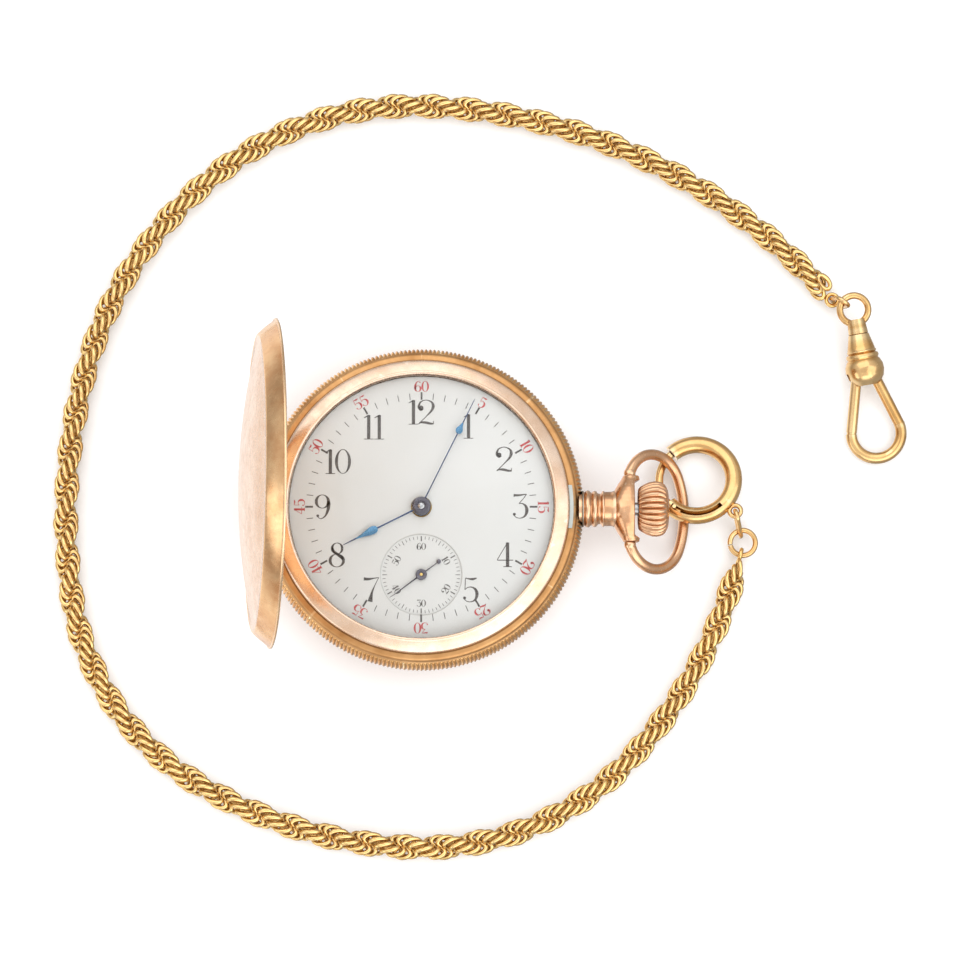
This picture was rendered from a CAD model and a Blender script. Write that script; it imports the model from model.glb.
import math, random
import bpy
from mathutils import Matrix, Vector


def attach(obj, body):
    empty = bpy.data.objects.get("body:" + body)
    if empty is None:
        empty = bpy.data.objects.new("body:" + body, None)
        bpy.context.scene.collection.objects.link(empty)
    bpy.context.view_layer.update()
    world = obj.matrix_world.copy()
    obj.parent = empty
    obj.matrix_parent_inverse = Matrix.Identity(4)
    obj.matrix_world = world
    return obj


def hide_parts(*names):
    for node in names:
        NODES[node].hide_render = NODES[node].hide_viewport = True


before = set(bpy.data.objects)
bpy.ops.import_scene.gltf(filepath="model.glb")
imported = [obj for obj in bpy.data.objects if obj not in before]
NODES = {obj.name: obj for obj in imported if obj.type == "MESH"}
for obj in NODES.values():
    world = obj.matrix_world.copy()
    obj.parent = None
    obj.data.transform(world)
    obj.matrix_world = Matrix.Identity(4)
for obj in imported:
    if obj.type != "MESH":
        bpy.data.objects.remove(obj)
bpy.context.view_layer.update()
MM = 0.001
rnd = random.Random(7)


# ---------------------------------------------------------------- materials
def new_mat(name):
    m = bpy.data.materials.new(name)
    m.use_nodes = True
    nt = m.node_tree
    nt.nodes.clear()
    out = nt.nodes.new("ShaderNodeOutputMaterial")
    return m, nt, out


def node(nt, kind, **kw):
    n = nt.nodes.new(kind)
    for k, v in kw.items():
        setattr(n, k, v)
    return n


def srgb(r, g, b):
    f = lambda c: (c / 255) / 12.92 if c <= 10 else ((c / 255 + 0.055) / 1.055) ** 2.4
    return (f(r), f(g), f(b), 1)


def ramp(nt, fac, stops):
    r = node(nt, "ShaderNodeValToRGB")
    while len(r.color_ramp.elements) < len(stops):
        r.color_ramp.elements.new(0.5)
    for e, (p, c) in zip(r.color_ramp.elements, stops):
        e.position = p
        e.color = c if isinstance(c, tuple) else (c, c, c, 1)
    nt.links.new(fac, r.inputs["Fac"])
    return r.outputs["Color"]


def mix(nt, fac, a, b, blend="MIX"):
    m = node(nt, "ShaderNodeMix", data_type="RGBA", blend_type=blend)
    if hasattr(fac, "links"):
        nt.links.new(fac, m.inputs[0])
    else:
        m.inputs[0].default_value = fac
    for s, i in ((a, 6), (b, 7)):
        if hasattr(s, "links"):
            nt.links.new(s, m.inputs[i])
        else:
            m.inputs[i].default_value = s
    return m.outputs[2]


def noise(nt, scale, detail=3, rough=0.5, stretch=None, seed=0.0):
    tc = node(nt, "ShaderNodeTexCoord")
    mp = node(nt, "ShaderNodeMapping")
    mp.inputs["Location"].default_value = (seed, seed * 0.7, seed * 1.3)
    if stretch:
        mp.inputs["Scale"].default_value = stretch
    nt.links.new(tc.outputs["Object"], mp.inputs["Vector"])
    n = node(nt, "ShaderNodeTexNoise")
    n.inputs["Scale"].default_value = scale
    n.inputs["Detail"].default_value = detail
    n.inputs["Roughness"].default_value = rough
    nt.links.new(mp.outputs["Vector"], n.inputs["Vector"])
    return n.outputs["Fac"]


def metal(name, base, worn, dull, rough=(0.14, 0.3), scratch=0.05, brush=None, edge=0.5, tarnish=0.35, ao=0.0012, round_mm=0.05, metallic=1.0, spot=None):
    """Polished metal: a worn tint on the edges, a duller tint in the recesses, a patchy sheen and fine scratches."""
    m, nt, out = new_mat(name)
    b = node(nt, "ShaderNodeBsdfPrincipled")
    b.inputs["Metallic"].default_value = metallic
    nt.links.new(b.outputs[0], out.inputs[0])
    patch = noise(nt, 260, 4, 0.6, seed=1.0)
    col = mix(nt, ramp(nt, patch, [(0.35, 0.0), (0.7, 1.0)]), base, dull)
    # edges, from the shape's own curvature
    geo = node(nt, "ShaderNodeNewGeometry")
    edge_f = ramp(nt, geo.outputs["Pointiness"], [(0.50, 0.0), (0.56, edge)])
    col = mix(nt, edge_f, col, worn)
    if ao:
        a = node(nt, "ShaderNodeAmbientOcclusion", samples=6)
        a.inputs["Distance"].default_value = ao
        grime = ramp(nt, a.outputs["AO"], [(0.15, tarnish), (0.75, 0.0)])
        dark = tuple(c * 0.32 for c in dull[:3]) + (1,)
        col = mix(nt, grime, col, dark)
    if spot:
        # a stain that gathers round one place: (centre mm, full radius, fade radius)
        dist = node(nt, "ShaderNodeVectorMath", operation="DISTANCE")
        nt.links.new(geo.outputs["Position"], dist.inputs[0])
        dist.inputs[1].default_value = tuple(c * MM for c in spot[0])
        mr = node(nt, "ShaderNodeMapRange")
        nt.links.new(dist.outputs["Value"], mr.inputs["Value"])
        mr.inputs["From Min"].default_value = spot[1] * MM
        mr.inputs["From Max"].default_value = spot[2] * MM
        mr.inputs["To Min"].default_value = 0.9
        mr.inputs["To Max"].default_value = 0.0
        blotch = ramp(nt, noise(nt, 1400, 4, 0.6, seed=11.0), [(0.35, 0.35), (0.6, 1.0)])
        fac = node(nt, "ShaderNodeMath", operation="MULTIPLY")
        nt.links.new(mr.outputs["Result"], fac.inputs[0])
        nt.links.new(blotch, fac.inputs[1])
        col = mix(nt, fac.outputs[0], col, srgb(112, 98, 76))
    nt.links.new(col, b.inputs["Base Color"])
    fine = noise(nt, 900, 5, 0.65, seed=3.0)
    r = node(nt, "ShaderNodeMapRange")
    nt.links.new(fine, r.inputs["Value"])
    r.inputs["From Min"].default_value = 0.3
    r.inputs["From Max"].default_value = 0.7
    r.inputs["To Min"].default_value = rough[0]
    r.inputs["To Max"].default_value = rough[1]
    nt.links.new(r.outputs["Result"], b.inputs["Roughness"])
    s1 = noise(nt, 500, 2, 0.5, stretch=(1.0, 14.0, 3.0), seed=5.0)
    s2 = noise(nt, 500, 2, 0.5, stretch=(12.0, 1.0, 4.0), seed=8.0)
    h = mix(nt, 0.5, s1, s2)
    if brush:
        h = mix(nt, 0.7, h, noise(nt, 400, 2, 0.5, stretch=brush, seed=2.0))
    bump = node(nt, "ShaderNodeBump")
    bump.inputs["Strength"].default_value = scratch
    bump.inputs["Distance"].default_value = 0.00004
    nt.links.new(h, bump.inputs["Height"])
    if round_mm:
        bv = node(nt, "ShaderNodeBevel", samples=4)
        bv.inputs["Radius"].default_value = round_mm * MM
        nt.links.new(bv.outputs[0], bump.inputs["Normal"])
    nt.links.new(bump.outputs[0], b.inputs["Normal"])
    return m


def enamel(name, base, low):
    m, nt, out = new_mat(name)
    b = node(nt, "ShaderNodeBsdfPrincipled")
    nt.links.new(b.outputs[0], out.inputs[0])
    f = noise(nt, 90, 4, 0.55, seed=2.0)
    col = mix(nt, ramp(nt, f, [(0.3, 0.0), (0.75, 1.0)]), base, low)
    specks = ramp(nt, noise(nt, 1500, 2, 0.5, seed=9.0), [(0.75, 0.0), (0.8, 0.35)])
    col = mix(nt, specks, col, srgb(196, 190, 180))
    nt.links.new(col, b.inputs["Base Color"])
    r = ramp(nt, noise(nt, 400, 3, 0.5, seed=4.0), [(0.3, 0.12), (0.8, 0.24)])
    nt.links.new(r, b.inputs["Roughness"])
    bump = node(nt, "ShaderNodeBump")
    bump.inputs["Strength"].default_value = 0.05
    bump.inputs["Distance"].default_value = 0.0001
    nt.links.new(noise(nt, 160, 2, 0.4, seed=6.0), bump.inputs["Height"])
    nt.links.new(bump.outputs[0], b.inputs["Normal"])
    b.inputs["Specular IOR Level"].default_value = 0.5
    b.inputs["Coat Weight"].default_value = 0.15
    return m


def ink(name, base, faded):
    m, nt, out = new_mat(name)
    b = node(nt, "ShaderNodeBsdfPrincipled")
    nt.links.new(b.outputs[0], out.inputs[0])
    f = noise(nt, 1800, 4, 0.6, seed=2.0)
    nt.links.new(mix(nt, ramp(nt, f, [(0.35, 0.0), (0.75, 1.0)]), base, faded), b.inputs["Base Color"])
    nt.links.new(ramp(nt, noise(nt, 700, 3, 0.5, seed=1.0), [(0.3, 0.25), (0.8, 0.45)]), b.inputs["Roughness"])
    bump = node(nt, "ShaderNodeBump")
    bump.inputs["Strength"].default_value = 0.1
    bump.inputs["Distance"].default_value = 0.00002
    nt.links.new(f, bump.inputs["Height"])
    nt.links.new(bump.outputs[0], b.inputs["Normal"])
    return m


def glass(name):
    """A thin watch crystal: clear, with a weak reflection and faint rubbing marks."""
    m, nt, out = new_mat(name)
    t = node(nt, "ShaderNodeBsdfTransparent")
    t.inputs["Color"].default_value = (0.985, 0.99, 0.99, 1)
    g = node(nt, "ShaderNodeBsdfGlossy")
    g.inputs["Color"].default_value = (1, 1, 1, 1)
    nt.links.new(ramp(nt, noise(nt, 300, 4, 0.6, seed=1.0), [(0.3, 0.02), (0.8, 0.10)]), g.inputs["Roughness"])
    bump = node(nt, "ShaderNodeBump")
    bump.inputs["Strength"].default_value = 0.03
    bump.inputs["Distance"].default_value = 0.00003
    nt.links.new(noise(nt, 600, 3, 0.5, stretch=(1, 9, 1), seed=2.0), bump.inputs["Height"])
    nt.links.new(bump.outputs[0], g.inputs["Normal"])
    fr = node(nt, "ShaderNodeFresnel")
    fr.inputs["IOR"].default_value = 1.32
    mx = node(nt, "ShaderNodeMixShader")
    weak = node(nt, "ShaderNodeMath", operation="MULTIPLY")
    weak.inputs[1].default_value = 0.36
    nt.links.new(fr.outputs[0], weak.inputs[0])
    nt.links.new(weak.outputs[0], mx.inputs[0])
    nt.links.new(t.outputs[0], mx.inputs[1])
    nt.links.new(g.outputs[0], mx.inputs[2])
    nt.links.new(mx.outputs[0], out.inputs[0])
    return m


ROSE = metal("rose_gold", srgb(224, 176, 136), srgb(248, 216, 184), srgb(200, 148, 108), rough=(0.16, 0.30), scratch=0.06, tarnish=0.5)
PALE = metal("rubbed_pale_gold", srgb(236, 210, 188), srgb(250, 232, 214), srgb(222, 188, 160), rough=(0.18, 0.34), scratch=0.08, tarnish=0.5)
STRIP = metal("lid_bevel_gold", srgb(236, 196, 148), srgb(252, 222, 184), srgb(206, 152, 104), rough=(0.16, 0.32), scratch=0.1, brush=(1, 1, 8), tarnish=0.5)
CATCH = metal("worn_catch_plate", srgb(176, 182, 178), srgb(206, 210, 206), srgb(140, 144, 140), rough=(0.3, 0.48), scratch=0.25)
SATIN = metal("satin_rim_gold", srgb(208, 160, 108), srgb(238, 202, 156), srgb(180, 130, 80), rough=(0.32, 0.5), scratch=0.14, tarnish=0.5, spot=((20.2, -0.4, 7.4), 1.2, 3.6))
ROSE_SOFT = metal("rose_gold_satin", srgb(226, 172, 120), srgb(250, 214, 168), srgb(200, 142, 90), rough=(0.28, 0.44), scratch=0.12)
REED = metal("reeded_gold", srgb(240, 190, 130), srgb(255, 230, 186), srgb(208, 148, 88), rough=(0.18, 0.32), scratch=0.06, edge=0.9, tarnish=1.0, ao=0.0005, round_mm=0.0, spot=((20.6, -0.6, 6.4), 1.6, 4.2))
YELLOW = metal("chain_gold", srgb(234, 184, 108), srgb(252, 226, 164), srgb(208, 152, 76), rough=(0.14, 0.28), scratch=0.06, tarnish=0.7, ao=0.0008, round_mm=0.0)
YELLOW2 = metal("yellow_gold", srgb(226, 184, 124), srgb(248, 226, 180), srgb(200, 152, 92), rough=(0.14, 0.28), scratch=0.06, tarnish=0.45)
NICKEL = metal("striped_nickel", srgb(206, 202, 192), srgb(232, 228, 220), srgb(176, 170, 158), rough=(0.2, 0.36), scratch=0.08, brush=(1, 30, 1))
STEEL = metal("steel", srgb(200, 200, 202), srgb(230, 230, 230), srgb(156, 156, 160), rough=(0.2, 0.36), scratch=0.08)
GILT = metal("gilt_brass", srgb(232, 196, 112), srgb(250, 226, 160), srgb(196, 152, 78), rough=(0.2, 0.38), scratch=0.08)
BLUED = metal("blued_steel", srgb(60, 84, 128), srgb(116, 158, 190), srgb(48, 62, 96), rough=(0.14, 0.3), scratch=0.04, edge=0.6, ao=0, round_mm=0.03)
SPADE = metal("blued_spade", srgb(96, 138, 168), srgb(150, 186, 208), srgb(74, 114, 150), rough=(0.2, 0.36), scratch=0.04, edge=0.3, ao=0, round_mm=0.03)
HUB = metal("hand_hub", srgb(92, 88, 96), srgb(130, 128, 136), srgb(66, 62, 70), rough=(0.24, 0.4), scratch=0.06, ao=0, round_mm=0.03)
TARNISH = metal("grey_tarnish", srgb(150, 148, 134), srgb(206, 204, 192), srgb(96, 92, 78), rough=(0.3, 0.5), scratch=0.3)
GRIME = metal("joint_grime", srgb(120, 84, 50), srgb(176, 130, 84), srgb(78, 52, 30), rough=(0.4, 0.6), scratch=0.3, round_mm=0.0)
DIAL = enamel("white_enamel", srgb(222, 221, 219), srgb(215, 214, 211))
BLACK = ink("dark_ink", srgb(72, 66, 64), srgb(104, 98, 94))
FINE = ink("fine_ink", srgb(84, 80, 78), srgb(118, 114, 110))
RED = ink("red_ink", srgb(186, 62, 66), srgb(204, 104, 102))
CRYSTAL = glass("crystal_glass")


# ---------------------------------------------------------------- mesh helpers (millimetres)
def add(name, verts, faces, mat, body, M=None, sharp=35, smooth=True, nodes=(), ride=True):
    me = bpy.data.meshes.new(name)
    pts = [(M @ Vector(v)) if M is not None else Vector(v) for v in verts]
    me.from_pydata([tuple(p * MM) for p in pts], [], faces)
    me.validate()
    if smooth:
        me.shade_smooth()
        if sharp:
            me.set_sharp_from_angle(angle=math.radians(sharp))
    me.materials.append(mat)
    o = bpy.data.objects.new(name, me)
    bpy.context.scene.collection.objects.link(o)
    if ride:
        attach(o, body)
    if nodes:
        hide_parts(*nodes)
    return o


class Geo:
    def __init__(self):
        self.v, self.f = [], []

    def put(self, verts, faces, M=None):
        n = len(self.v)
        self.v += [tuple(M @ Vector(p)) for p in verts] if M is not None else [tuple(p) for p in verts]
        self.f += [tuple(i + n for i in f) for f in faces]
        return self


def lathe(profile, n=256, closed=True, a0=0.0, a1=360.0, radial=None):
    """(r, z) points turned about Z; a point on the axis becomes one vertex. radial(angle, k) adds to the radius."""
    full = abs(a1 - a0 - 360) < 1e-6
    steps = n if full else n + 1
    v, f = [], []
    m = len(profile)
    pole = {}
    idx = []
    for i in range(steps):
        a = math.radians(a0 + (a1 - a0) * i / n)
        c, s = math.cos(a), math.sin(a)
        row = []
        for k, (r, z) in enumerate(profile):
            if r <= 0.021:
                if k not in pole:
                    pole[k] = len(v)
                    v.append((0.0, 0.0, z))
                row.append(pole[k])
                continue
            rr = r + (radial(a, k) if radial else 0)
            row.append(len(v))
            v.append((rr * c, rr * s, z))
        idx.append(row)
    for i in range(n):
        j = (i + 1) % steps
        for k in range(m if closed else m - 1):
            l = (k + 1) % m
            q = []
            for t in (idx[i][k], idx[j][k], idx[j][l], idx[i][l]):
                if t not in q:
                    q.append(t)
            if len(q) > 2:
                f.append(tuple(q))
    if not full and closed:
        f.append(tuple(idx[0]))
        f.append(tuple(reversed(idx[-1])))
    return v, f


def tube(points, radius, n=16, closed=False, caps=True, up=None):
    """Round wire along points; radius is a number or a list; ends are rounded."""
    P = [Vector(p) for p in points]
    R = list(radius) if isinstance(radius, (list, tuple)) else [radius] * len(P)
    if caps and not closed:
        d0, d1 = (P[1] - P[0]).normalized(), (P[-1] - P[-2]).normalized()
        head, tail, hr, tr = [], [], [], []
        for t in (80, 60, 40, 20):
            a = math.radians(t)
            head.append(P[0] - d0 * R[0] * math.sin(a) * 0.6)
            hr.append(R[0] * math.cos(a))
            tail.insert(0, P[-1] + d1 * R[-1] * math.sin(a) * 0.6)
            tr.insert(0, R[-1] * math.cos(a))
        P, R = head + P + tail, hr + R + tr
    m = len(P)
    T = []
    for i in range(m):
        a = P[(i - 1) % m] if closed or i > 0 else P[i]
        b = P[(i + 1) % m] if closed or i < m - 1 else P[i]
        T.append((b - a).normalized())
    N = (Vector(up) if up else (Vector((0, 0, 1)) if abs(T[0].z) < 0.9 else Vector((1, 0, 0))))
    N = (N - T[0] * N.dot(T[0])).normalized()
    v, f = [], []
    for i in range(m):
        N = (N - T[i] * N.dot(T[i])).normalized()
        B = T[i].cross(N)
        for k in range(n):
            a = 2 * math.pi * k / n
            v.append(tuple(P[i] + (N * math.cos(a) + B * math.sin(a)) * R[i]))
    for i in range(m if closed else m - 1):
        j = (i + 1) % m
        for k in range(n):
            l = (k + 1) % n
            f.append((i * n + k, i * n + l, j * n + l, j * n + k))
    if not closed:
        f.append(tuple(reversed(range(n))))
        f.append(tuple((m - 1) * n + k for k in range(n)))
    return v, f


def rod(p, q, r, n=24, chamfer=0.08):
    """Turned pin from p to q with eased ends."""
    P, Q = Vector(p), Vector(q)
    d = (Q - P).normalized()
    c = min(chamfer, r * 0.5)
    pts = [P, P + d * c * 0.4, P + d * c, Q - d * c, Q - d * c * 0.4, Q]
    return tube(pts, [r - c, r - c * 0.3, r, r, r - c * 0.3, r - c], n, caps=False)


def smooth_pts(pts, k=8):
    """Catmull-Rom through the points, which are tuples of any length."""
    out = []
    n = len(pts)
    for i in range(n - 1):
        p0, p1, p2, p3 = pts[max(i - 1, 0)], pts[i], pts[i + 1], pts[min(i + 2, n - 1)]
        for j in range(k):
            t = j / k
            out.append(tuple(0.5 * (2 * b + (c - a) * t + (2 * a - 5 * b + 4 * c - d) * t * t + (3 * b - a - 3 * c + d) * t ** 3) for a, b, c, d in zip(p0, p1, p2, p3)))
    out.append(tuple(pts[-1]))
    return out


def rot(axis, deg):
    return Matrix.Rotation(math.radians(deg), 4, axis)


def tr(x, y, z):
    return Matrix.Translation((x, y, z))


# ---------------------------------------------------------------- every CAD node first
FINISH = {}
for n in ("case_middle", "pendant", "crown", "bow", "front_cover", "back_cover", "bezel"):
    FINISH[n] = ROSE
for n in ("front_hinge_pin", "back_hinge_pin"):
    FINISH[n] = ROSE_SOFT
for n in ("bolt_ring", "ring_bolt", "eye_link", "jump_ring", "end_ring", "swivel_loop", "swivel_hook", "swivel_gate"):
    FINISH[n] = YELLOW2
for n in ("main_plate", "barrel_bridge", "train_bridge", "balance_cock", "pallet_bridge"):
    FINISH[n] = NICKEL
for n in ("hour_hand", "minute_hand", "seconds_hand", "bridge_screws", "hairspring", "mainspring"):
    FINISH[n] = BLUED
for n in ("mainspring_barrel", "centre_wheel", "third_wheel", "fourth_wheel", "balance_wheel", "minute_wheel", "hour_wheel"):
    FINISH[n] = GILT
FINISH["dial"] = DIAL
FINISH["lock_spring"] = CATCH
FINISH["crystal"] = CRYSTAL
for n, o in NODES.items():
    o.data.materials.clear()
    o.data.materials.append(YELLOW if n.startswith("chain_") else FINISH.get(n, STEEL))
    if "custom_normal" in o.data.attributes:
        o.data.attributes.remove(o.data.attributes["custom_normal"])
    o.data.shade_smooth()
    w = o.modifiers.new("weld", "WELD")
    w.merge_threshold = 1e-6
    e = o.modifiers.new("split", "EDGE_SPLIT")
    e.split_angle = math.radians(34)
    e.use_edge_sharp = False

# ---------------------------------------------------------------- case middle: satin rims and a half-round reeded band
SEG = 240 * 8
CASE_TOP = [(17.3, 8.8), (18.6, 8.8), (19.05, 8.8), (19.6, 8.78), (19.85, 8.7), (20.0, 8.55), (20.05, 8.35), (20.0, 8.25), (20.08, 8.16), (20.22, 8.06)]
CASE_BAND = [(20.22, 8.06), (20.46, 7.9), (20.68, 7.55), (20.84, 7.15), (20.93, 6.7), (20.96, 6.25), (20.94, 5.8), (20.85, 5.4), (20.68, 5.05), (20.46, 4.8), (20.24, 4.7)]
CASE_LOW = [(20.24, 4.7), (20.12, 4.62), (20.1, 4.5), (20.0, 4.3), (19.8, 4.22), (17.3, 4.2), (17.3, 4.8), (18.3, 4.8), (18.3, 7.8), (17.3, 7.8), (17.3, 8.8)]


def at_hinge(r, z, a):
    """Room in the rim for the middle knuckle of each hinge."""
    if math.cos(a) > -0.9 or abs(r * math.sin(a)) > 1.66:
        return 0.0
    for zh in (8.7, 4.3):
        d = abs(z - zh)
        if d < 0.68:
            return min(0.0, 20.4 - math.sqrt(0.68 ** 2 - d * d) - r)
    return 0.0


def band_radial(a, k):
    r, z = CASE_BAND[k]
    amp = (0.0, 0.6, 1, 1, 1, 1, 1, 1, 1, 0.6, 0.0)[k]
    return min(-0.3 * amp * (1 - abs(math.cos(a * 120)) ** 0.8), at_hinge(r, z, a)) if amp else at_hinge(r, z, a)


def knuckle(y0, y1, z, r=0.6):
    return rod((-20.4, y0, z), (-20.4, y1, z), r, 32, 0.1)


g = Geo()
for prof in (CASE_TOP, CASE_LOW):
    v, f = lathe(prof, SEG, False, radial=lambda a, k, p=prof: at_hinge(p[k][0], p[k][1], a))
    g.put(v, f)
for zh in (8.7, 4.3):
    for y0, y1 in ((1.7, 4.4), (-4.4, -1.7)):
        v, f = knuckle(y0, y1, zh)
        g.put(v, f)
add("case_rims", g.v, g.f, SATIN, "case", nodes=["case_middle"], sharp=32)
v, f = lathe(CASE_BAND, SEG, False, radial=band_radial)
add("case_reeding", v, f, REED, "case", sharp=0)

LID = tr(-20.4, 0, 8.7) @ rot("Y", -83) @ tr(20.4, 0, -8.7)


def dome_pts(r, zr, zc, n=14, r_end=0.02):
    """From radius r at height zr up to the centre at zc, as a shallow cap."""
    h = zc - zr
    Rs = (r * r + h * h) / (2 * h)
    pts = []
    for i in range(n + 1):
        x = r + (r_end - r) * i / n
        pts.append((x, zc - Rs + math.sqrt(Rs * Rs - x * x)))
    return pts


NL = 360
lid = [(19.92, 8.9), (20.42, 8.88), (20.56, 8.95), (20.6, 9.08), (20.55, 9.2), (20.42, 9.26), (20.3, 9.24), (20.22, 9.34), (19.95, 9.72), (19.55, 10.24),
       (19.1, 10.76), (18.75, 11.12), (18.62, 11.24), (18.5, 11.28), (18.38, 11.24), (18.28, 11.17), (18.1, 11.2)]
lid += dome_pts(17.8, 11.1, 13.1)
inner = [(r, z) for r, z in reversed(dome_pts(18.0, 10.6, 12.7))]
lid += inner + [(18.2, 10.55), (19.2, 9.75), (19.8, 9.1)]
g = Geo()
v, f = lathe(lid, NL, True)
g.put(v, f, LID)
v, f = knuckle(-1.6, 1.6, 8.7)
g.put(v, f)
o = add("lid_shell", g.v, g.f, STRIP, "front_cover", nodes=["front_cover"])
# the domed middle is rubbed paler than the bevel round it
o.data.materials.append(PALE)
back_to_closed = LID.inverted()
for p in o.data.polygons:
    c = back_to_closed @ (p.center / MM)
    up = (back_to_closed.to_3x3() @ p.normal).z
    if math.hypot(c.x, c.y) < 18.35 and up > 0.2:
        p.material_index = 1

back = [(19.92, 4.1), (20.42, 4.12), (20.56, 4.05), (20.6, 3.92), (20.55, 3.8), (20.42, 3.74), (20.3, 3.76), (20.2, 3.64), (19.9, 3.28), (19.4, 2.82),
        (18.85, 2.32), (18.55, 2.1), (18.4, 2.0), (18.28, 1.96), (18.16, 1.98), (18.05, 1.95), (17.0, 1.62), (15, 1.15), (13, 0.77), (11, 0.45), (9, 0.2), (7.5, 0.07), (6.4, 0.01), (6.0, 0.0), (0.02, 0.0),
        (0.02, 0.4), (6.0, 0.4), (9, 0.6), (11, 0.85), (15, 1.55), (18.2, 2.4), (19.2, 3.3), (19.8, 3.95)]
g = Geo()
v, f = lathe(back, NL, True)
g.put(v, f)
v, f = knuckle(-1.6, 1.6, 4.3)
g.put(v, f)
add("back_shell", g.v, g.f, ROSE, "back_cover", nodes=["back_cover"])

# bezel: bright inner bead, satin slope, dark line at its foot
bez = [(17.06, 8.86), (17.06, 9.25), (17.6, 9.27), (17.6, 9.62), (17.14, 9.66), (17.1, 9.8), (17.13, 9.95), (17.2, 10.04), (17.3, 10.08), (17.42, 10.09), (17.5, 10.07),
       (17.56, 10.03), (17.64, 10.0), (18.0, 9.86), (18.4, 9.69), (18.75, 9.53), (18.9, 9.45), (18.99, 9.37), (19.04, 9.26), (19.05, 9.12), (19.03, 8.95), (18.96, 8.86)]
v, f = lathe(bez, NL, True)
add("bezel_ring", v, f, PALE, "case", nodes=["bezel"], sharp=50)
# tarnish where the bezel snaps on
v, f = lathe([(18.98, 8.8), (19.2, 8.8), (19.2, 8.83), (18.98, 8.85)], NL, True)
add("bezel_joint_line", v, f, GRIME, "case")
cr = [(17.55, 9.3), (17.55, 9.58), (17.1, 9.64)] + dome_pts(17.0, 9.8, 11.0) + [(r, z) for r, z in reversed(dome_pts(16.5, 9.75, 10.6))] + [(16.5, 9.3)]
v, f = lathe(cr, NL, True)
add("crystal_glass", v, f, CRYSTAL, "case", nodes=["crystal"], sharp=40)

# ---------------------------------------------------------------- pendant, crown, bow
AX = tr(0, 0, 6.6) @ rot("Y", 90)


def xlathe(profile, n=128, radial=None, z=6.6, closed=True):
    """(x, r) points turned about the line y 0, z 6.6, along X."""
    v, f = lathe([(r, x) for x, r in profile], n, closed, radial=radial)
    return [(p[2], p[1], z - p[0]) for p in v], f


neck = [(20.3, 0.95), (20.3, 2.05), (20.74, 2.05), (20.8, 2.24), (20.92, 2.28), (21.04, 2.16), (21.16, 2.3), (21.4, 2.4), (21.65, 2.36), (21.8, 2.2), (21.95, 2.12), (22.1, 2.24), (22.3, 2.36), (22.55, 2.32), (22.7, 2.1), (22.85, 1.98),
        (23.05, 1.96), (23.2, 2.06), (23.3, 2.26), (23.4, 2.34), (23.55, 2.32), (23.62, 2.22), (24.3, 2.22), (24.6, 2.24), (24.8, 2.34)]
neck += [(25.1, 2.3), (25.1, 0.95)]
g = Geo()
v, f = xlathe(neck, 160)
g.put(v, f)
add("pendant_neck", g.v, g.f, ROSE, "case", nodes=["pendant"], sharp=50)
ball = [(24.55, 0.02), (24.55, 1.4)] + [(26.15 + 1.6 * math.cos(math.radians(a)), 1.05 + 1.6 * math.sin(math.radians(a))) for a in range(165, 30, -9)] + [(27.52, 2.1), (27.52, 0.02)]
g = Geo()
v, f = xlathe(ball, 96, closed=False)
g.put(v, f)
for s in (-1, 1):
    # shoulder that holds the end of the bow
    prof = [(0.0, 0.02), (0.0, 2.72), (0.8, 2.66), (1.5, 2.5), (2.1, 2.3), (2.6, 2.08), (3.0, 1.86), (3.4, 1.62), (3.8, 1.36), (4.05, 1.24), (4.2, 1.2), (4.3, 1.16), (4.34, 1.05), (4.34, 0.82), (4.1, 0.78), (4.0, 0.6), (4.0, 0.02)]
    v, f = lathe([(r, y) for y, r in prof], 96, False)
    vv = []
    for x, y, z in v:
        px, py, pz = 26.5 + 0.45 * (z / 4.3) ** 2 + x * (1.0 if x > 0 else 0.8), s * z, 6.6 + y
        if px > 27.5 and math.hypot(py, pz - 6.6) < 3.75:
            px = 27.5
        vv.append((px, py, pz))
    g.put(vv, f if s < 0 else [tuple(reversed(q)) for q in f])
body = add("pendant_body", g.v, g.f, ROSE, "case", sharp=0)
rm = body.modifiers.new("fuse", "REMESH")
rm.mode = "VOXEL"
rm.voxel_size = 0.075 * MM
rm.use_smooth_shade = True
sm = body.modifiers.new("ease", "SMOOTH")
sm.factor = 0.5
sm.iterations = 14
v, f = xlathe([(20.66, 1.95), (20.7, 2.2), (20.78, 2.34), (20.9, 2.36), (20.94, 2.2)], 96)
add("pendant_joint_line", v, f, TARNISH, "case")

NR = 26


def ribs(a, k):
    w = CR_W[k]
    return -0.4 * w * (1 - abs(math.cos(a * NR / 2)) ** 0.8)


crown_p = [(27.95, 2.3, 0), (27.95, 2.5, 0.1), (28.1, 2.74, 0.5), (28.4, 2.98, 0.9), (28.8, 3.2, 1), (29.3, 3.42, 1), (29.8, 3.55, 1), (30.4, 3.58, 1), (30.85, 3.5, 1), (31.2, 3.34, 0.9), (31.42, 3.14, 0.5),
           (31.52, 3.0, 0.1), (31.58, 2.88, 0), (31.66, 2.76, 0), (31.82, 2.4, 0), (31.92, 1.7, 0), (31.98, 0.9, 0), (32.0, 0.02, 0), (28.8, 0.02, 0), (28.8, 2.3, 0)]
CR_W = [p[2] for p in crown_p]
v, f = xlathe([(p[0], p[1]) for p in crown_p], NR * (16), radial=ribs)
add("crown_fluted", v, f, ROSE, "crown", nodes=["crown"], sharp=50)

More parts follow.
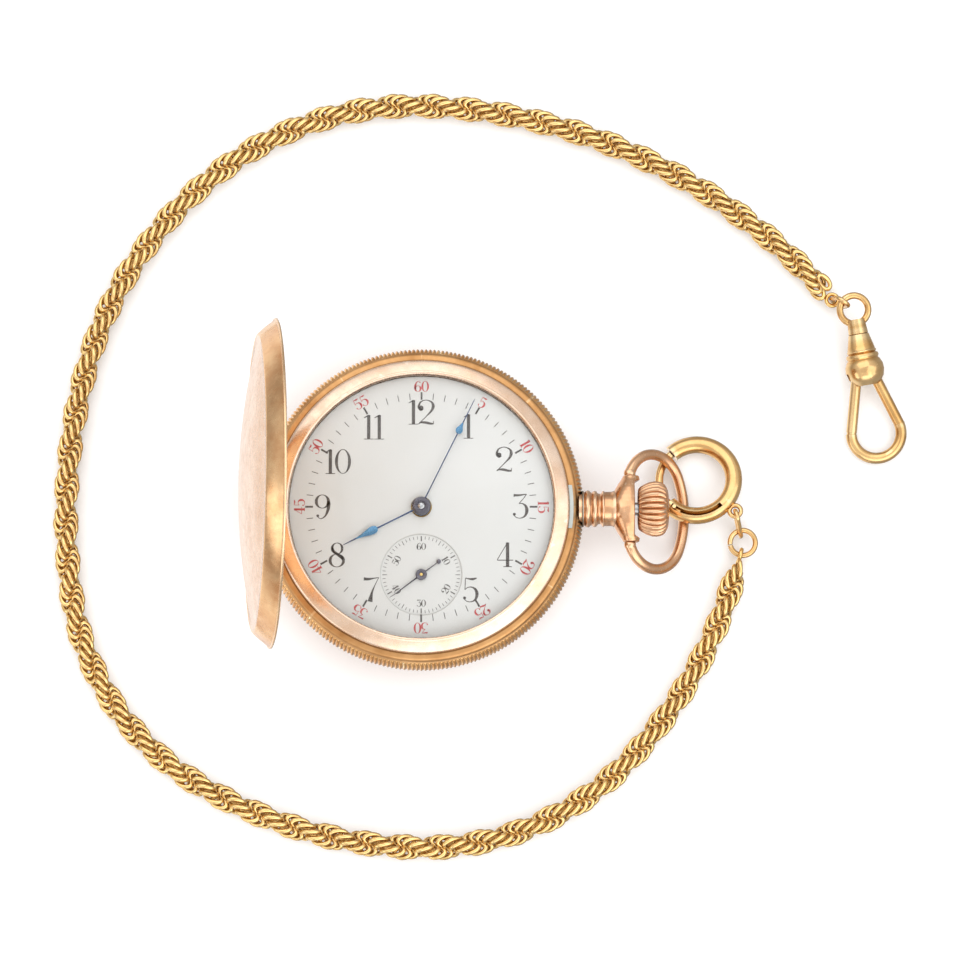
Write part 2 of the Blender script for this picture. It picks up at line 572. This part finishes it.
# bow, drooping from its pivots
BOW = tr(26.9, 0, 6.6) @ rot("Y", 39)
pts = []
for i in range(0, 31):
    a = math.radians(158.6 - (158.6 - 22.99) * i / 30)
    pts.append((4.19 + 4.5 * math.cos(a), 3.0 + 4.5 * math.sin(a), 0))
for i in range(1, 24):
    a = math.radians(22.99 - 45.98 * i / 24)
    pts.append((-2.88 + 12.18 * math.cos(a), 12.18 * math.sin(a), 0))
for i in range(0, 31):
    a = math.radians(-22.99 - (158.6 - 22.99) * i / 30)
    pts.append((4.19 + 4.5 * math.cos(a), -3.0 + 4.5 * math.sin(a), 0))
rad = []
for i in range(len(pts)):
    t = abs(i / (len(pts) - 1) * 2 - 1)
    rad.append(0.69 + 0.03 * max(0, (t - 0.9) / 0.1))
g = Geo()
v, f = tube(pts, rad, 32, up=(0, 0, 1))
g.put(v, f, BOW)
for s in (-1, 1):
    v, f = tube([(0, s * 3.98, 0), (0, s * 4.3, 0), (0, s * 4.64, 0), (0, s * 5.0, 0), (0, s * 5.3, 0)], [0.5, 0.72, 0.78, 0.72, 0.45], 24)
    g.put(v, f, BOW)
add("bow_wire", g.v, g.f, ROSE, "bow", nodes=["bow"], sharp=60)

# ---------------------------------------------------------------- hands
def outline_plate(name, pts, z0, z1, mat, body, M, nodes=(), bev=0.03, slot="blued_steel"):
    """A flat plate from an outline, with an eased top edge."""
    n = len(pts)
    cx = sum(p[0] for p in pts) / n
    def shrink(d):
        out = []
        for i in range(n):
            a, b, c = Vector(pts[i - 1]), Vector(pts[i]), Vector(pts[(i + 1) % n])
            e = (c - a).normalized()
            nrm = Vector((-e.y, e.x))
            out.append((b.x + nrm.x * d, b.y + nrm.y * d))
        return out
    inn = shrink(bev)
    v = [(x, y, z0) for x, y in pts] + [(x, y, z1 - bev) for x, y in pts] + [(x, y, z1) for x, y in inn]
    f = [tuple(reversed(range(n))), tuple(range(2 * n, 3 * n))]
    for i in range(n):
        j = (i + 1) % n
        f += [(i, j, n + j, n + i), (n + i, n + j, 2 * n + j, 2 * n + i)]
    return v, f


def hand_strip(spec, z0, z1, k=6):
    """(distance along, half width) pairs swept into a thin plate with a ridged top."""
    P = smooth_pts(spec, k)
    v, f = [], []
    for x, w in P:
        w = max(w, 0.02)
        v += [(x, -w, z0), (x, -w, z1 - 0.04), (x, -w * 0.55, z1), (x, w * 0.55, z1), (x, w, z1 - 0.04), (x, w, z0)]
    m = len(P)
    for i in range(m - 1):
        for q in range(6):
            r = (q + 1) % 6
            f.append((i * 6 + q, i * 6 + r, (i + 1) * 6 + r, (i + 1) * 6 + q))
    f.append(tuple(range(6)))
    f.append(tuple(reversed([(m - 1) * 6 + q for q in range(6)])))
    return v, f


def cw(angle):
    return rot("Z", 90 - angle)


HA, MA, SA = 243.4, 26.3, 233.2
v, f = hand_strip([(0.8, 0.16), (1.6, 0.1), (3.5, 0.085), (5.6, 0.085), (6.3, 0.12), (6.45, 0.3)], 9.06, 9.2)
g = Geo().put(v, f)
v, f = hand_strip([(9.2, 0.09), (9.9, 0.075), (10.8, 0.05), (11.3, 0.02)], 9.06, 9.2)
g.put(v, f)
v, f = lathe([(0.5, 9.05), (1.2, 9.05), (1.22, 9.1), (1.2, 9.22), (1.1, 9.27), (0.7, 9.28), (0.5, 9.26)], 64)
g.put(v, f)
add("hour_hand_stem", [tuple(cw(HA) @ Vector(p)) for p in g.v], g.f, BLUED, "hour", nodes=["hour_hand"])
v, f = hand_strip([(6.3, 0.1), (6.42, 0.32), (6.75, 0.5), (7.15, 0.52), (7.7, 0.42), (8.3, 0.26), (8.9, 0.14), (9.35, 0.085)], 9.06, 9.22, 8)
add("hour_hand_spade", [tuple(cw(HA) @ Vector(p)) for p in v], f, SPADE, "hour")
v, f = hand_strip([(0.7, 0.12), (2.0, 0.075), (6.0, 0.07), (10.2, 0.07), (10.55, 0.1)], 9.36, 9.5)
g = Geo().put(v, f)
v, f = hand_strip([(12.0, 0.07), (13.5, 0.055), (15.0, 0.045), (15.6, 0.02)], 9.36, 9.5)
g.put(v, f)
add("minute_hand_stem", [tuple(cw(MA) @ Vector(p)) for p in g.v], g.f, BLUED, "centre", nodes=["minute_hand"])
v, f = hand_strip([(10.5, 0.1), (10.6, 0.3), (10.9, 0.45), (11.25, 0.4), (11.6, 0.22), (12.1, 0.08)], 9.36, 9.52, 8)
add("minute_hand_spade", [tuple(cw(MA) @ Vector(p)) for p in v], f, SPADE, "centre")
v, f = lathe([(0.02, 9.34), (1.0, 9.34), (1.18, 9.38), (1.22, 9.46), (1.16, 9.56), (1.02, 9.62), (0.6, 9.64), (0.5, 9.6), (0.02, 9.6)], 96)
add("minute_hand_hub", v, f, HUB, "centre")
v, f = lathe([(0.02, 9.5), (0.4, 9.5), (0.42, 9.66), (0.36, 9.72), (0.2, 9.76), (0.02, 9.77)], 64)
add("centre_arbor_tip", v, f, STEEL, "centre")
SEC = tr(0, -8.8, 0) @ cw(SA)
v, f = hand_strip([(0.6, 0.11), (1.5, 0.075), (3.0, 0.06), (4.65, 0.03)], 8.68, 8.8)
g = Geo().put(v, f)
v, f = hand_strip([(-2.6, 0.05), (-1.5, 0.06), (-0.6, 0.08)], 8.68, 8.8)
g.put(v, f)
v, f = lathe([(0.02, 8.68), (0.27, 8.68), (0.3, 8.72), (0.3, 8.79), (0.26, 8.82), (0.02, 8.83)], 40)
g.put(v, f, tr(-2.8, 0, 0))
v, f = lathe([(0.02, 8.64), (0.66, 8.64), (0.72, 8.7), (0.72, 8.8), (0.66, 8.86), (0.3, 8.87), (0.26, 8.85), (0.02, 8.85)], 64)
g.put(v, f)
add("seconds_hand_blade", [tuple(SEC @ Vector(p)) for p in g.v], g.f, HUB, "fourth", nodes=["seconds_hand"])
v, f = lathe([(0.02, 8.8), (0.18, 8.8), (0.2, 8.89), (0.14, 8.92), (0.02, 8.92)], 40)
add("fourth_arbor_tip", [tuple(SEC @ Vector(p)) for p in v], f, GILT, "fourth")

# ---------------------------------------------------------------- dial printing
def ellipse(cx, cy, rx, ry, hair=0.028, thick=0.12, n=40, a0=0, a1=360):
    out = []
    for i in range(n + 1):
        a = math.radians(a0 + (a1 - a0) * i / n)
        out.append((cx + rx * math.cos(a), cy + ry * math.sin(a), hair + (thick - hair) * abs(math.cos(a)) ** 2.2))
    return ("raw", out)


SIX = [ellipse(0, 0.29, 0.24, 0.265), ("s", [(0.2, 0.86, 0.03), (0.13, 0.95, 0.03), (0.02, 0.97, 0.035), (-0.13, 0.85, 0.07), (-0.23, 0.6, 0.12), (-0.255, 0.4, 0.13), (-0.245, 0.28, 0.12)]), ("d", (0.18, 0.86, 0.055))]
GL = {
    "0": [ellipse(0, 0.5, 0.26, 0.48)],
    "1": [("s", [(0.02, 0.02, 0.13), (0.02, 0.5, 0.13), (0.02, 0.98, 0.13)]), ("s", [(0.04, 0.985, 0.03), (-0.05, 0.93, 0.05), (-0.17, 0.87, 0.03)]), ("s", [(-0.17, 0.015, 0.03), (0.21, 0.015, 0.03)])],
    "2": [("d", (-0.19, 0.68, 0.085)), ("s", [(-0.11, 0.64, 0.05), (-0.2, 0.58, 0.06), (-0.285, 0.7, 0.1), (-0.22, 0.9, 0.06), (0.0, 0.985, 0.03), (0.22, 0.9, 0.07), (0.285, 0.74, 0.12), (0.22, 0.56, 0.09), (0.02, 0.34, 0.04), (-0.18, 0.14, 0.03), (-0.29, 0.03, 0.03)]),
          ("s", [(-0.29, 0.03, 0.03), (-0.2, 0.085, 0.07), (-0.02, 0.08, 0.1), (0.16, 0.04, 0.09), (0.3, 0.03, 0.05)]), ("s", [(0.29, 0.01, 0.03), (0.3, 0.14, 0.03)])],
    "3": [("s", [(-0.24, 0.86, 0.03), (-0.235, 0.98, 0.03)]), ("s", [(-0.235, 0.93, 0.1), (-0.05, 0.93, 0.08), (0.12, 0.955, 0.05), (0.26, 0.975, 0.03)]), ("s", [(0.26, 0.975, 0.03), (0.12, 0.78, 0.03), (-0.04, 0.6, 0.03)]),
          ("s", [(-0.04, 0.6, 0.03), (0.1, 0.595, 0.045), (0.23, 0.49, 0.1), (0.27, 0.31, 0.13), (0.2, 0.11, 0.08), (0.03, 0.015, 0.035), (-0.14, 0.04, 0.03), (-0.24, 0.13, 0.03)]), ("d", (-0.225, 0.17, 0.06))],
    "4": [("s", [(0.09, 0.98, 0.03), (-0.32, 0.29, 0.03)]), ("s", [(-0.32, 0.275, 0.035), (0.31, 0.275, 0.035)]), ("s", [(0.09, 0.02, 0.13), (0.09, 0.98, 0.13)]), ("s", [(-0.08, 0.015, 0.03), (0.26, 0.015, 0.03)])],
    "5": [("s", [(-0.19, 0.965, 0.03), (-0.05, 0.93, 0.06), (0.1, 0.92, 0.09), (0.25, 0.96, 0.05)]), ("s", [(-0.19, 0.97, 0.03), (-0.21, 0.5, 0.03)]),
          ("s", [(-0.21, 0.5, 0.03), (-0.1, 0.585, 0.03), (0.06, 0.6, 0.045), (0.21, 0.5, 0.1), (0.265, 0.31, 0.13), (0.2, 0.11, 0.08), (0.03, 0.015, 0.035), (-0.14, 0.04, 0.03), (-0.24, 0.13, 0.03)]), ("d", (-0.225, 0.17, 0.06))],
    "6": SIX,
    "7": [("s", [(-0.29, 0.86, 0.03), (-0.285, 0.99, 0.03)]), ("s", [(-0.285, 0.93, 0.12), (-0.12, 0.92, 0.1), (0.08, 0.95, 0.05), (0.29, 0.98, 0.025)]), ("s", [(0.29, 0.98, 0.02), (0.16, 0.72, 0.035), (0.03, 0.4, 0.08), (-0.05, 0.02, 0.2)])],
    "8": [ellipse(0.01, 0.755, 0.2, 0.22, thick=0.1), ellipse(0, 0.275, 0.265, 0.255, thick=0.12), ("s", [(-0.17, 0.82, 0.05), (-0.13, 0.66, 0.09), (0.03, 0.52, 0.11), (0.17, 0.4, 0.1), (0.24, 0.3, 0.05)])],
}
GL["9"] = [(k, [(-x, 1 - y, w) for x, y, w in p]) if k != "d" else (k, (-p[0], 1 - p[1], p[2])) for k, p in SIX]
ADV = {"1": 0.42, "4": 0.68, "7": 0.62, "0": 0.62}


def glyph_mesh(g, text, cx, cy, h, ang=0.0, z=8.612, bold=1.0, gap=0.04):
    widths = [ADV.get(c, 0.62) + gap for c in text]
    x = -sum(widths) / 2
    M = tr(cx, cy, z) @ rot("Z", ang)
    for c, w in zip(text, widths):
        ox = x + w / 2
        x += w
        for kind, p in GL[c]:
            if kind == "d":
                n = 16
                v = [((ox + p[0] + p[2] * math.cos(2 * math.pi * i / n)) * h, (p[1] - 0.5 + p[2] * math.sin(2 * math.pi * i / n)) * h, 0) for i in range(n)]
                g.put(v, [tuple(range(n))], M)
                continue
            P = smooth_pts(p, 6) if kind == "s" and len(p) > 2 else p
            v, f = [], []
            m = len(P)
            for i in range(m):
                a, b = P[max(i - 1, 0)], P[min(i + 1, m - 1)]
                dx, dy = b[0] - a[0], b[1] - a[1]
                l = math.hypot(dx, dy) or 1
                hw = max(P[i][2] * bold, 0.02) / 2
                nx, ny = -dy / l * hw, dx / l * hw
                v += [((ox + P[i][0] + nx) * h, (P[i][1] - 0.5 + ny) * h, 0), ((ox + P[i][0] - nx) * h, (P[i][1] - 0.5 - ny) * h, 0)]
            for i in range(m - 1):
                f.append((2 * i, 2 * i + 1, 2 * i + 3, 2 * i + 2))
            g.put(v, f, M)


def bar(g, cx, cy, r0, r1, w, ang, z):
    """A radial mark, ang clockwise from 12."""
    M = tr(cx, cy, z) @ rot("Z", -ang)
    g.put([(-w / 2, r0, 0), (w / 2, r0, 0), (w / 2, r1, 0), (-w / 2, r1, 0)], [(0, 1, 2, 3)], M)


ZP = 8.612
HOURS = {"12": (-0.1, 12.35), "11": (-6.2, 10.4), "10": (-10.8, 5.9), "9": (-12.75, 0.0), "8": (-10.85, -6.25), "7": (-6.4, -10.75), "5": (6.3, -10.75), "4": (10.8, -6.2), "3": (12.7, 0.1), "2": (10.65, 6.2), "1": (6.0, 10.5)}
g = Geo()
for t, (x, y) in HOURS.items():
    glyph_mesh(g, t, x, y, 3.25, 0, ZP, gap=0.0 if len(t) > 1 else 0.04)
for i in range(12):
    bar(g, 0, 0, 13.95, 14.95, 0.24, i * 30, ZP)
add("dial_hour_numerals", g.v, g.f, BLACK, "case", smooth=False)
g = Geo()
for i in range(60):
    if i % 5:
        bar(g, 0, 0, 14.0, 14.85, 0.1, i * 6, ZP)
add("dial_minute_marks", g.v, g.f, FINE, "case", smooth=False)
g = Geo()
for i in range(1, 13):
    a = i * 30
    glyph_mesh(g, str(i * 5), 15.72 * math.sin(math.radians(a)), 15.72 * math.cos(math.radians(a)), 1.42, -a, ZP, bold=1.5)
add("dial_minute_numerals", g.v, g.f, RED, "case", smooth=False)
ZS = 8.412
g = Geo()
for i in range(60):
    r0, w = (4.35, 0.15) if i % 10 == 0 else ((4.4, 0.085) if i % 5 == 0 else (4.6, 0.07))
    bar(g, 0, -8.8, r0, 5.0, w, i * 6, ZS)
for i, t in enumerate(["60", "10", "20", "30", "40", "50"]):
    a = i * 60
    up = -a if t in ("60", "10", "50") else 180 - a
    glyph_mesh(g, t, 3.68 * math.sin(math.radians(a)), -8.8 + 3.68 * math.cos(math.radians(a)), 0.9, up, ZS, bold=1.5)
add("seconds_printing", g.v, g.f, FINE, "case", smooth=False)
v, f = lathe([(5.27, 8.6), (5.33, 8.612), (5.24, 8.56), (5.22, 8.45)], 160, closed=False)
add("seconds_ring_edge", v, f, enamel("sunk_edge", srgb(214, 212, 208), srgb(200, 198, 194)), "case", M=tr(0, -8.8, 0), sharp=60)

# ---------------------------------------------------------------- rope chain
L = 30.4
TURN = [29, 48, 30, 50, 24, 35, 42, 24, 23]
HEAD = [-104 - sum(TURN[:i]) for i in range(10)]


def unit(deg):
    return Vector((math.cos(math.radians(deg)), math.sin(math.radians(deg)), 0))


CP = [Vector((41.4, -5.4, 0))]
for i, t in enumerate(TURN):
    R = L * 180 / math.pi / t
    CP.append(CP[-1] + unit(HEAD[i] - t / 2) * 2 * R * math.sin(math.radians(t / 2)))


def rope(s):
    """Point and heading on the rope's centre line, s mm from its start."""
    i = min(int(s / L), 8)
    R = L * 180 / math.pi / TURN[i]
    c = CP[i] + unit(HEAD[i] - 90) * R
    a = HEAD[i] + 90 - math.degrees((s - i * L) / R)
    return c + unit(a) * R, a - 90


PITCH_T = 9.7     # one full turn of the two strands
STEP = 0.8
NM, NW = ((22, 8))
groups = [Geo() for _ in range(10)]
s = 1.9
total = 9 * L - 1.9
k = 0
UP = Vector((0, 0, 1))
while s < total:
    for strand in (0, 1):
        ss = s + strand * STEP * 0.5
        p, hd = rope(ss)
        T = unit(hd)
        N = UP.cross(T)
        th = math.radians(360 * ss / PITCH_T + 180 * strand)
        r = N * math.cos(th) + UP * math.sin(th)
        B = T.cross(r)
        be = math.radians(17 + rnd.uniform(-2, 2))
        u = T * math.cos(be) - B * math.sin(be)
        c = Vector((p.x, p.y, 1.7)) + r * 0.76
        nrm = u.cross(r)
        la, lb, w = 1.08, 0.62 + rnd.uniform(-0.02, 0.02), 0.31
        v, f = [], []
        for a in range(NM):
            t = 2 * math.pi * a / NM
            ct, st = math.cos(t), math.sin(t)
            rad_dir = (u * (ct / la) + r * (st / lb)).normalized()
            q = c + u * la * ct + r * lb * st
            for b in range(NW):
                e = 2 * math.pi * b / NW
                v.append(tuple(q + rad_dir * (w * math.cos(e)) + nrm * (w * math.sin(e))))
        for a in range(NM):
            for b in range(NW):
                a2, b2 = (a + 1) % NM, (b + 1) % NW
                f.append((a * NW + b, a2 * NW + b, a2 * NW + b2, a * NW + b2))
        gi = min(int(ss / L), 8) + 1
        groups[gi].put(v, f)
    s += STEP
    k += 1
# end loops
c1 = Vector((41.41, -5.31, 1.3))
t0 = unit(HEAD[0])
pts = [c1 + t0 * 0.75 * math.cos(math.radians(a)) + UP * 0.75 * math.sin(math.radians(a)) for a in range(0, 360, 10)]
v, f = tube(pts, 0.28, 16, closed=True)
groups[1].put(v, f)
c9 = CP[9] + unit(HEAD[9]) * 0.35 + UP * 1.3
pts = [c9 + Vector((0.76 * math.cos(math.radians(a)), 0.76 * math.sin(math.radians(a)), 0)) for a in range(0, 360, 10)]
v, f = tube(pts, 0.27, 16, closed=True)
groups[9].put(v, f)
for i in range(1, 10):
    gg = groups[i]
    add("rope_%d" % i, gg.v, gg.f, YELLOW, "chain_%d" % i, sharp=0, nodes=["chain_%d" % i])

# ---------------------------------------------------------------- swivel: bearing line and the gate's tongue
SWF = tr(56.4, 26.7, 3.78) @ rot("Z", -79.7) @ rot("Y", 8.7)
v, f = lathe([(0.5, 3.12), (1.2, 3.12), (1.24, 3.2), (1.24, 3.32), (0.5, 3.34)], 64)
add("swivel_bearing_line", [(p[2], p[1], -p[0]) for p in v], f, GRIME, "swivel_loop", M=SWF)
v, f = rod((15.4, -3.07, 0), (16.12, -3.235, 0), 0.64, 32, 0.06)
add("gate_tongue", v, f, YELLOW2, "swivel_gate", M=SWF)

# ---------------------------------------------------------------- stage
me = bpy.data.meshes.new("floor")
S = 2.0
me.from_pydata([(-S, -S, -0.00005), (S, -S, -0.00005), (S, S, -0.00005), (-S, S, -0.00005)], [], [(0, 1, 2, 3)])
m, nt, out = new_mat("pale_floor")
b = node(nt, "ShaderNodeBsdfPrincipled")
b.inputs["Base Color"].default_value = (0.93, 0.93, 0.935, 1)
b.inputs["Roughness"].default_value = 0.7
b.inputs["Specular IOR Level"].default_value = 0.2
b.inputs["Emission Color"].default_value = (1, 1, 1, 1)
b.inputs["Emission Strength"].default_value = 0.1
nt.links.new(b.outputs[0], out.inputs[0])
me.materials.append(m)
floor = bpy.data.objects.new("floor", me)
bpy.context.scene.collection.objects.link(floor)
floor.visible_glossy = False

world = bpy.data.worlds.new("studio")
bpy.context.scene.world = world
world.use_nodes = True
nt = world.node_tree
nt.nodes.clear()
out = node(nt, "ShaderNodeOutputWorld")
bg = node(nt, "ShaderNodeBackground")
tc = node(nt, "ShaderNodeTexCoord")
sep = node(nt, "ShaderNodeSeparateXYZ")
nt.links.new(tc.outputs["Generated"], sep.inputs[0])
sky = ramp(nt, sep.outputs["Z"], [(0.0, 0.48), (0.08, 0.5), (0.25, 0.64), (0.45, 0.86), (0.75, 1.0)])
# the pale table as seen from the left-hand side, which the standing cover mirrors
flip = node(nt, "ShaderNodeMath", operation="MULTIPLY")
flip.inputs[1].default_value = -1.0
nt.links.new(sep.outputs["X"], flip.inputs[0])
side = ramp(nt, flip.outputs[0], [(0.04, 0.0), (0.2, 1.0)])
under = node(nt, "ShaderNodeMath", operation="MULTIPLY")
under.inputs[1].default_value = -1.0
nt.links.new(sep.outputs["Z"], under.inputs[0])
low = ramp(nt, under.outputs[0], [(0.02, 0.0), (0.12, 0.25), (0.5, 1.0)])
bounce = mix(nt, 1.0, side, low, "MULTIPLY")
sky = mix(nt, bounce, sky, (1.22, 1.18, 1.16, 1))
nt.links.new(sky, bg.inputs["Color"])
bg.inputs["Strength"].default_value = 1.02
nt.links.new(bg.outputs[0], out.inputs[0])


def area(name, loc, size, energy, target=(0.0075, 0.004, 0.005), color=(1, 1, 1)):
    l = bpy.data.lights.new(name, "AREA")
    l.shape = "RECTANGLE"
    l.size, l.size_y = size
    l.energy = energy
    l.color = color
    o = bpy.data.objects.new(name, l)
    o.location = loc
    o.rotation_euler = (Vector(target) - Vector(loc)).to_track_quat("-Z", "Y").to_euler()
    bpy.context.scene.collection.objects.link(o)
    return o


area("key_softbox", (-0.12, 0.38, 0.62), (0.9, 0.7), 1.7)
area("fill_softbox", (0.45, -0.12, 0.5), (0.6, 0.6), 1.0)
area("front_card", (0.16, -0.50, 0.40), (0.7, 0.36), 1.15)
area("low_strip", (-0.5, -0.3, 0.22), (0.6, 0.2), 0.5)

cam = bpy.data.cameras.new("cam")
cam.sensor_width = 36
cam.lens = 174
cam.clip_start = 0.01
cam.clip_end = 10
co = bpy.data.objects.new("cam", cam)
tgt = Vector((7.55, 3.8, 6.5)) * MM
el = math.radians(81.5)
co.location = tgt + Vector((0, -math.cos(el), math.sin(el))) * 0.6
co.rotation_euler = (tgt - co.location).to_track_quat("-Z", "Y").to_euler()
bpy.context.scene.collection.objects.link(co)
bpy.context.scene.camera = co
vs = bpy.context.scene.view_settings
vs.view_transform = "Standard"
vs.look = "None"
vs.exposure = 0.0
